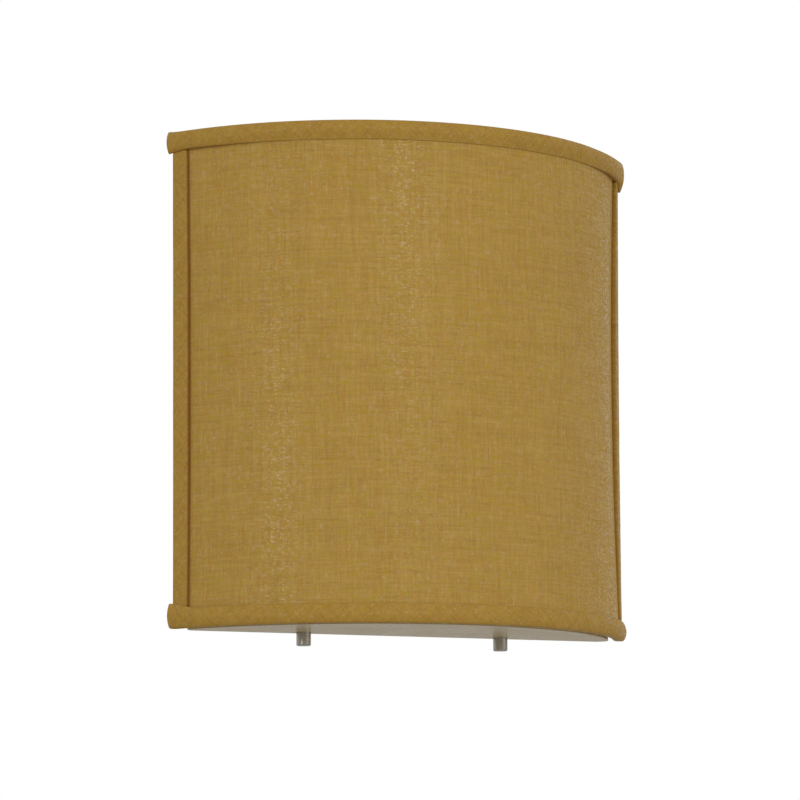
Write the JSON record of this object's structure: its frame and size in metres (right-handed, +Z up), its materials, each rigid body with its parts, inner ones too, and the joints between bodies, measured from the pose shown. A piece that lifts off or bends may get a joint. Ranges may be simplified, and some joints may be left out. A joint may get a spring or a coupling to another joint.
{
  "type": "wall light",
  "caption": "Half-round fabric wall light: a curved cloth shade hooked on an enamelled wall pan, candelabra lamps inside, and a flat diffuser held up by knobs.",
  "frame": {"origin": "centre of the crossbar's two wall-box slots, on the wall plane, at the middle of the shade's width and height", "axes": "+Y into the wall, -Y into the room, +X to the right seen from the room, +Z up"},
  "size_m": [0.309, 0.1015, 0.3129],
  "materials": {
    "cloth": "slubbed weave",
    "tape": "bias weave",
    "styrene": "matte",
    "frame_wire": "white powder coat",
    "pan_enamel": "white enamel",
    "zinc_plate": "zinc plated",
    "satin_nickel": "satin nickel",
    "green_plate": "green plated",
    "nylon": "natural",
    "phenolic": "moulded",
    "brass": "bright",
    "acrylic": "polished",
    "solder": "dull",
    "black_glass": "glossy",
    "nickel_brass": "bright nickel",
    "opal_glass": "opal"
  },
  "bodies": {
    "root": {"crossbar": "zinc_plate", "pan": "pan_enamel", "pan_bottom_plate": "pan_enamel", "pan_top_plate": "pan_enamel", "pan_screws": "zinc_plate", "cap_nuts": "satin_nickel", "ground_screw": "green_plate", "wire_bushing": "nylon", "hook_screws": "zinc_plate", "bracket_screws": "zinc_plate", "post_nuts": "zinc_plate", "socket_bracket_left": "pan_enamel", "lampholder_left": "phenolic", "screw_shell_left": "brass", "centre_contact_left": "brass", "nipple_left": "zinc_plate", "locknut_left": "zinc_plate", "diffuser_post_left": "zinc_plate", "socket_bracket_right": "pan_enamel", "lampholder_right": "phenolic", "screw_shell_right": "brass", "centre_contact_right": "brass", "nipple_right": "zinc_plate", "locknut_right": "zinc_plate", "diffuser_post_right": "zinc_plate"},
    "shade": {"fabric_panel": "cloth", "liner": "styrene", "top_ring": "frame_wire", "bottom_ring": "frame_wire", "top_tape": "tape", "bottom_tape": "tape", "side_tape_left": "tape", "upright_left": "frame_wire", "upper_hanger_left": "frame_wire", "lower_hanger_left": "frame_wire", "side_tape_right": "tape", "upright_right": "frame_wire", "upper_hanger_right": "frame_wire", "lower_hanger_right": "frame_wire"},
    "diffuser": {"diffuser": "acrylic", "diffuser_washers": "nylon"},
    "lamp_left": {"lamp_contact_left": "solder", "lamp_insulator_left": "black_glass", "lamp_cap_left": "nickel_brass", "lamp_glass_left": "opal_glass"},
    "knob_left": {"knob_left": "satin_nickel"},
    "lamp_right": {"lamp_contact_right": "solder", "lamp_insulator_right": "black_glass", "lamp_cap_right": "nickel_brass", "lamp_glass_right": "opal_glass"},
    "knob_right": {"knob_right": "satin_nickel"}
  },
  "joints": [
    {"name": "shade_lift", "type": "slide", "parent": "root", "child": "shade", "axis": [0, 0, 1], "range_m": [0, 0.0143]},
    {"name": "diffuser_drop", "type": "slide", "parent": "root", "child": "diffuser", "axis": [0, 0, -1], "range_m": [0, 0.00556]},
    {"name": "knob_left_turn", "type": "hinge", "parent": "diffuser", "child": "knob_left", "pos_m": [-0.0661, -0.0087, -0.1565], "axis": [0, 0, -1], "range_deg": [0, 2520]},
    {"name": "lamp_left_turn", "type": "hinge", "parent": "root", "child": "lamp_left", "pos_m": [-0.058, -0.05, -0.034], "axis": [0, 0, 1], "range_deg": [0, 1440]},
    {"name": "knob_right_turn", "type": "hinge", "parent": "diffuser", "child": "knob_right", "pos_m": [0.0661, -0.0087, -0.1565], "axis": [0, 0, -1], "range_deg": [0, 2520]},
    {"name": "lamp_right_turn", "type": "hinge", "parent": "root", "child": "lamp_right", "pos_m": [0.058, -0.05, -0.034], "axis": [0, 0, 1], "range_deg": [0, 1440]}
  ],
  "couplings": [
    {"joint": "knob_left_turn", "follows": "diffuser_drop", "rad_per_m": 7915.8},
    {"joint": "knob_right_turn", "follows": "diffuser_drop", "rad_per_m": 7915.8}
  ]
}
